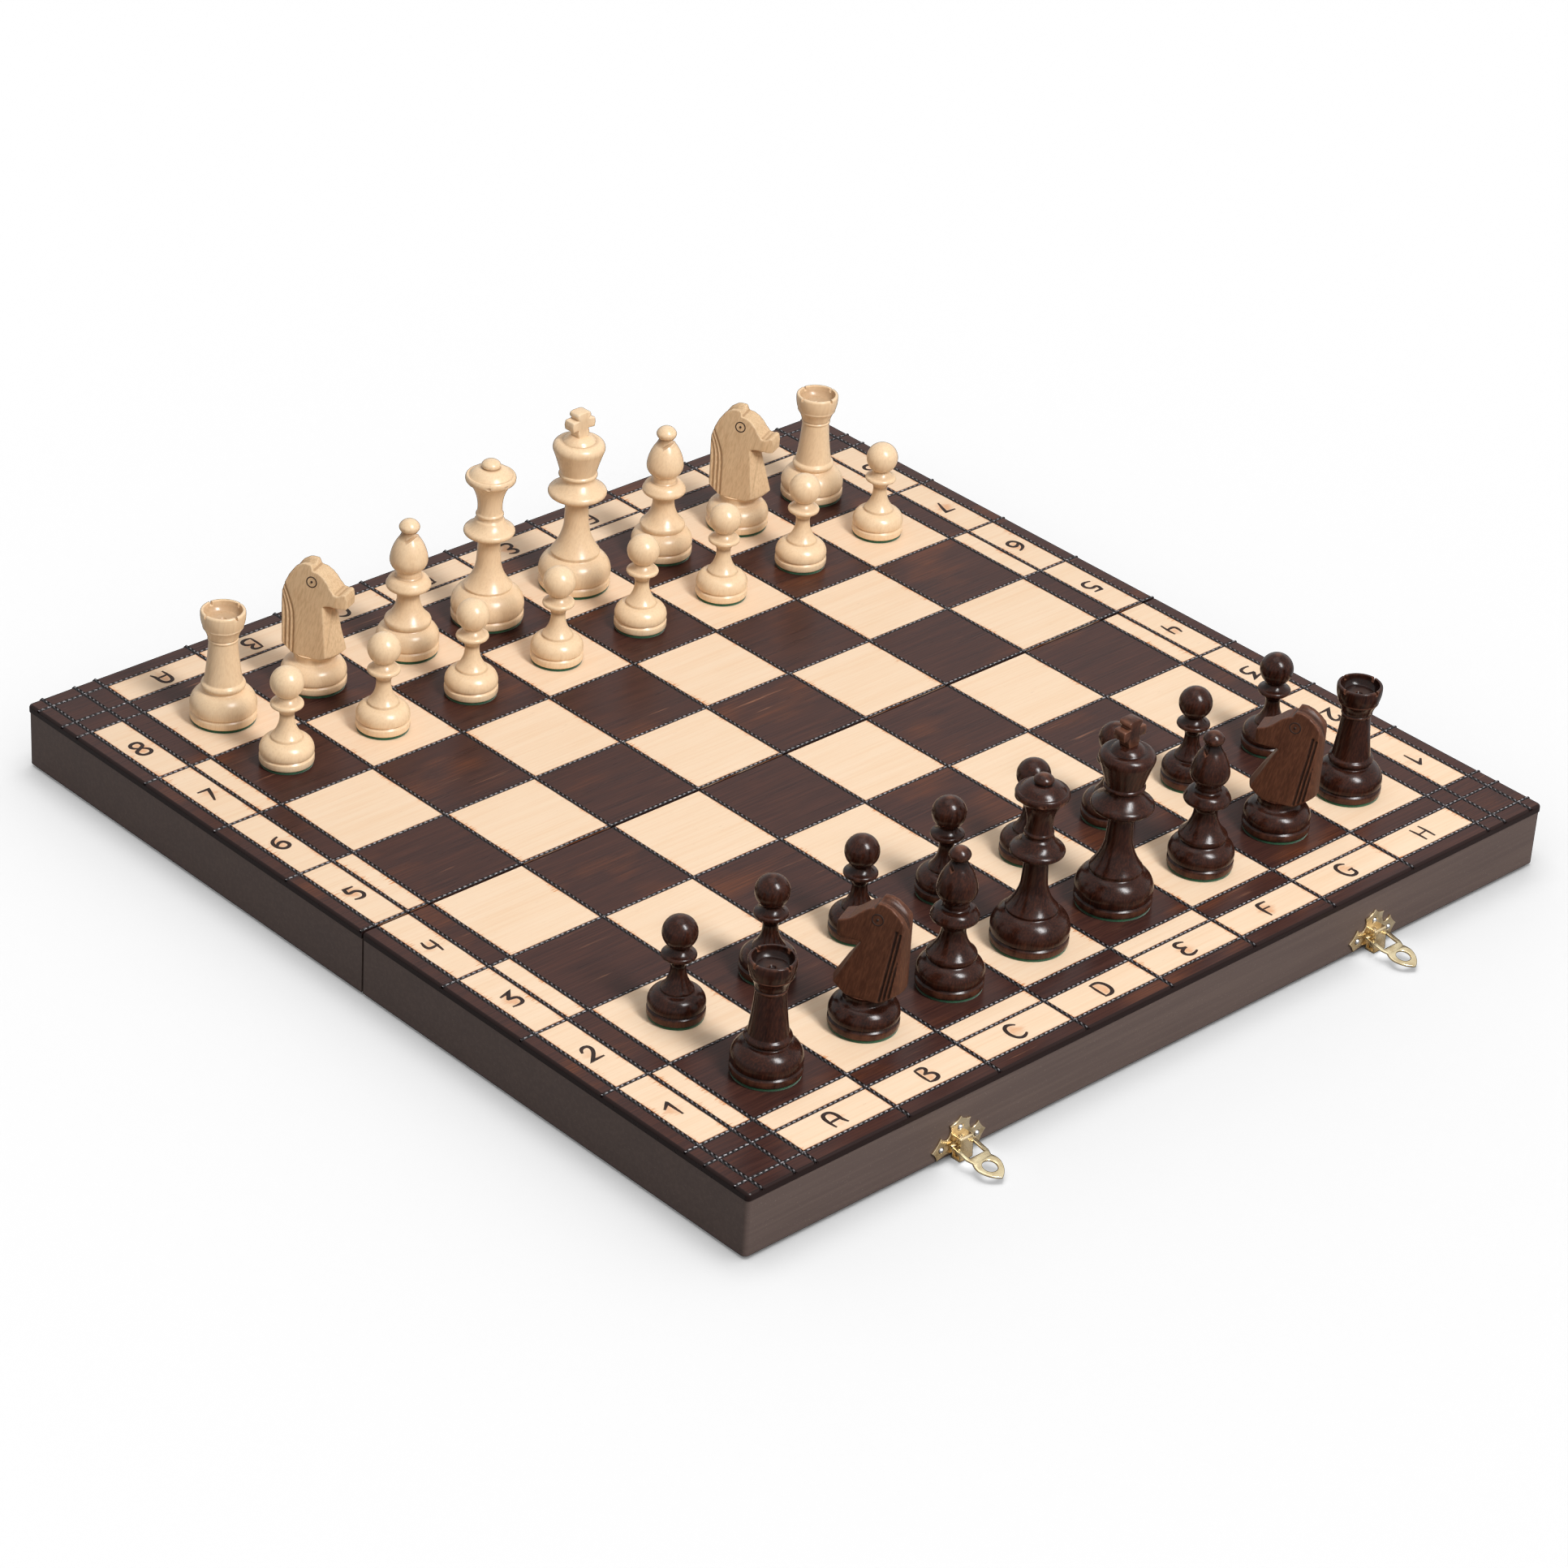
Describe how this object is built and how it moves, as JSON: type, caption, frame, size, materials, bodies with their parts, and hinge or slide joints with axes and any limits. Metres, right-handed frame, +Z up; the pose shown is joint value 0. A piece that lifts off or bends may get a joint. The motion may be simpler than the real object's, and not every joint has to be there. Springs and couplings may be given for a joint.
{
  "type": "chess set with board",
  "caption": "Folding wooden chess board with rope inlay and brass latches, closing into a box for its felt-footed turned men.",
  "frame": {"origin": "centre of the bounding box's foot, level with the lowest point of the hinge barrels", "axes": "+X along a rank from file A to file H, +Y from rank 1 to rank 8, +Z up from the table"},
  "size_m": [0.415, 0.4376, 0.1058],
  "materials": {
    "board_face": "light and dark stained squares with burnt lines, satin",
    "stained_wood": "dark brown stain, semi-gloss",
    "pale_wood": "pale wood, clear satin",
    "felt": "dark green felt",
    "brass": "thin pressed brass, polished",
    "steel": "plated steel wire"
  },
  "bodies": {
    "near_half": {"near_top_panel": "board_face", "near_front_wall": "stained_wood", "near_mid_wall": "stained_wood", "near_left_wall": "stained_wood", "near_right_wall": "stained_wood", "near_tray_lining": "felt", "near_hinge_leaves": "brass", "near_hinge_screws": "brass", "hinge_pins": "steel", "latch_plates": "brass", "latch_nails": "steel"},
    "far_half": {"far_top_panel": "board_face", "far_back_wall": "stained_wood", "far_mid_wall": "stained_wood", "far_left_wall": "stained_wood", "far_right_wall": "stained_wood", "far_tray_lining": "felt", "far_hinge_leaves": "brass", "far_hinge_screws": "brass", "catch_plates": "brass", "catch_nails": "steel"},
    "left_hasp": {"left_hasp": "brass"},
    "right_hasp": {"right_hasp": "brass"},
    "dark_rook_a": {"dark_rook_a": "stained_wood"},
    "dark_pawn_a": {"dark_pawn_a": "stained_wood"},
    "dark_knight_b": {"dark_knight_b": "stained_wood"},
    "dark_pawn_b": {"dark_pawn_b": "stained_wood"},
    "dark_bishop_c": {"dark_bishop_c": "stained_wood"},
    "dark_pawn_c": {"dark_pawn_c": "stained_wood"},
    "dark_queen_d": {"dark_queen_d": "stained_wood"},
    "dark_pawn_d": {"dark_pawn_d": "stained_wood"},
    "dark_king_e": {"dark_king_e": "stained_wood"},
    "dark_pawn_e": {"dark_pawn_e": "stained_wood"},
    "dark_bishop_f": {"dark_bishop_f": "stained_wood"},
    "dark_pawn_f": {"dark_pawn_f": "stained_wood"},
    "dark_knight_g": {"dark_knight_g": "stained_wood"},
    "dark_pawn_g": {"dark_pawn_g": "stained_wood"},
    "dark_rook_h": {"dark_rook_h": "stained_wood"},
    "dark_pawn_h": {"dark_pawn_h": "stained_wood"},
    "light_rook_a": {"light_rook_a": "pale_wood"},
    "light_pawn_a": {"light_pawn_a": "pale_wood"},
    "light_knight_b": {"light_knight_b": "pale_wood"},
    "light_pawn_b": {"light_pawn_b": "pale_wood"},
    "light_bishop_c": {"light_bishop_c": "pale_wood"},
    "light_pawn_c": {"light_pawn_c": "pale_wood"},
    "light_queen_d": {"light_queen_d": "pale_wood"},
    "light_pawn_d": {"light_pawn_d": "pale_wood"},
    "light_king_e": {"light_king_e": "pale_wood"},
    "light_pawn_e": {"light_pawn_e": "pale_wood"},
    "light_bishop_f": {"light_bishop_f": "pale_wood"},
    "light_pawn_f": {"light_pawn_f": "pale_wood"},
    "light_knight_g": {"light_knight_g": "pale_wood"},
    "light_pawn_g": {"light_pawn_g": "pale_wood"},
    "light_rook_h": {"light_rook_h": "pale_wood"},
    "light_pawn_h": {"light_pawn_h": "pale_wood"}
  },
  "joints": [
    {"name": "board_fold", "type": "hinge", "parent": "near_half", "child": "far_half", "pos_m": [0, 0.00954, 0.00125], "axis": [-1, 0, 0], "range_deg": [0, 180]},
    {"name": "hasp_left", "type": "hinge", "parent": "near_half", "child": "left_hasp", "pos_m": [-0.1065, -0.19826, 0.00645], "axis": [1, 0, 0], "range_deg": [-75, 78.7]},
    {"name": "hasp_right", "type": "hinge", "parent": "near_half", "child": "right_hasp", "pos_m": [0.112, -0.19826, 0.00645], "axis": [1, 0, 0], "range_deg": [-75, 78.7]},
    {"name": "lift_dark_rook_a", "type": "slide", "parent": "near_half", "child": "dark_rook_a", "axis": [0, 0, 1], "range_m": [0, 0.09]},
    {"name": "lift_dark_pawn_a", "type": "slide", "parent": "near_half", "child": "dark_pawn_a", "axis": [0, 0, 1], "range_m": [0, 0.09]},
    {"name": "lift_dark_knight_b", "type": "slide", "parent": "near_half", "child": "dark_knight_b", "axis": [0, 0, 1], "range_m": [0, 0.09]},
    {"name": "lift_dark_pawn_b", "type": "slide", "parent": "near_half", "child": "dark_pawn_b", "axis": [0, 0, 1], "range_m": [0, 0.09]},
    {"name": "lift_dark_bishop_c", "type": "slide", "parent": "near_half", "child": "dark_bishop_c", "axis": [0, 0, 1], "range_m": [0, 0.09]},
    {"name": "lift_dark_pawn_c", "type": "slide", "parent": "near_half", "child": "dark_pawn_c", "axis": [0, 0, 1], "range_m": [0, 0.09]},
    {"name": "lift_dark_queen_d", "type": "slide", "parent": "near_half", "child": "dark_queen_d", "axis": [0, 0, 1], "range_m": [0, 0.09]},
    {"name": "lift_dark_pawn_d", "type": "slide", "parent": "near_half", "child": "dark_pawn_d", "axis": [0, 0, 1], "range_m": [0, 0.09]},
    {"name": "lift_dark_king_e", "type": "slide", "parent": "near_half", "child": "dark_king_e", "axis": [0, 0, 1], "range_m": [0, 0.09]},
    {"name": "lift_dark_pawn_e", "type": "slide", "parent": "near_half", "child": "dark_pawn_e", "axis": [0, 0, 1], "range_m": [0, 0.09]},
    {"name": "lift_dark_bishop_f", "type": "slide", "parent": "near_half", "child": "dark_bishop_f", "axis": [0, 0, 1], "range_m": [0, 0.09]},
    {"name": "lift_dark_pawn_f", "type": "slide", "parent": "near_half", "child": "dark_pawn_f", "axis": [0, 0, 1], "range_m": [0, 0.09]},
    {"name": "lift_dark_knight_g", "type": "slide", "parent": "near_half", "child": "dark_knight_g", "axis": [0, 0, 1], "range_m": [0, 0.09]},
    {"name": "lift_dark_pawn_g", "type": "slide", "parent": "near_half", "child": "dark_pawn_g", "axis": [0, 0, 1], "range_m": [0, 0.09]},
    {"name": "lift_dark_rook_h", "type": "slide", "parent": "near_half", "child": "dark_rook_h", "axis": [0, 0, 1], "range_m": [0, 0.09]},
    {"name": "lift_dark_pawn_h", "type": "slide", "parent": "near_half", "child": "dark_pawn_h", "axis": [0, 0, 1], "range_m": [0, 0.09]},
    {"name": "lift_light_rook_a", "type": "slide", "parent": "far_half", "child": "light_rook_a", "axis": [0, 0, 1], "range_m": [0, 0.09]},
    {"name": "lift_light_pawn_a", "type": "slide", "parent": "far_half", "child": "light_pawn_a", "axis": [0, 0, 1], "range_m": [0, 0.09]},
    {"name": "lift_light_knight_b", "type": "slide", "parent": "far_half", "child": "light_knight_b", "axis": [0, 0, 1], "range_m": [0, 0.09]},
    {"name": "lift_light_pawn_b", "type": "slide", "parent": "far_half", "child": "light_pawn_b", "axis": [0, 0, 1], "range_m": [0, 0.09]},
    {"name": "lift_light_bishop_c", "type": "slide", "parent": "far_half", "child": "light_bishop_c", "axis": [0, 0, 1], "range_m": [0, 0.09]},
    {"name": "lift_light_pawn_c", "type": "slide", "parent": "far_half", "child": "light_pawn_c", "axis": [0, 0, 1], "range_m": [0, 0.09]},
    {"name": "lift_light_queen_d", "type": "slide", "parent": "far_half", "child": "light_queen_d", "axis": [0, 0, 1], "range_m": [0, 0.09]},
    {"name": "lift_light_pawn_d", "type": "slide", "parent": "far_half", "child": "light_pawn_d", "axis": [0, 0, 1], "range_m": [0, 0.09]},
    {"name": "lift_light_king_e", "type": "slide", "parent": "far_half", "child": "light_king_e", "axis": [0, 0, 1], "range_m": [0, 0.09]},
    {"name": "lift_light_pawn_e", "type": "slide", "parent": "far_half", "child": "light_pawn_e", "axis": [0, 0, 1], "range_m": [0, 0.09]},
    {"name": "lift_light_bishop_f", "type": "slide", "parent": "far_half", "child": "light_bishop_f", "axis": [0, 0, 1], "range_m": [0, 0.09]},
    {"name": "lift_light_pawn_f", "type": "slide", "parent": "far_half", "child": "light_pawn_f", "axis": [0, 0, 1], "range_m": [0, 0.09]},
    {"name": "lift_light_knight_g", "type": "slide", "parent": "far_half", "child": "light_knight_g", "axis": [0, 0, 1], "range_m": [0, 0.09]},
    {"name": "lift_light_pawn_g", "type": "slide", "parent": "far_half", "child": "light_pawn_g", "axis": [0, 0, 1], "range_m": [0, 0.09]},
    {"name": "lift_light_rook_h", "type": "slide", "parent": "far_half", "child": "light_rook_h", "axis": [0, 0, 1], "range_m": [0, 0.09]},
    {"name": "lift_light_pawn_h", "type": "slide", "parent": "far_half", "child": "light_pawn_h", "axis": [0, 0, 1], "range_m": [0, 0.09]}
  ]
}
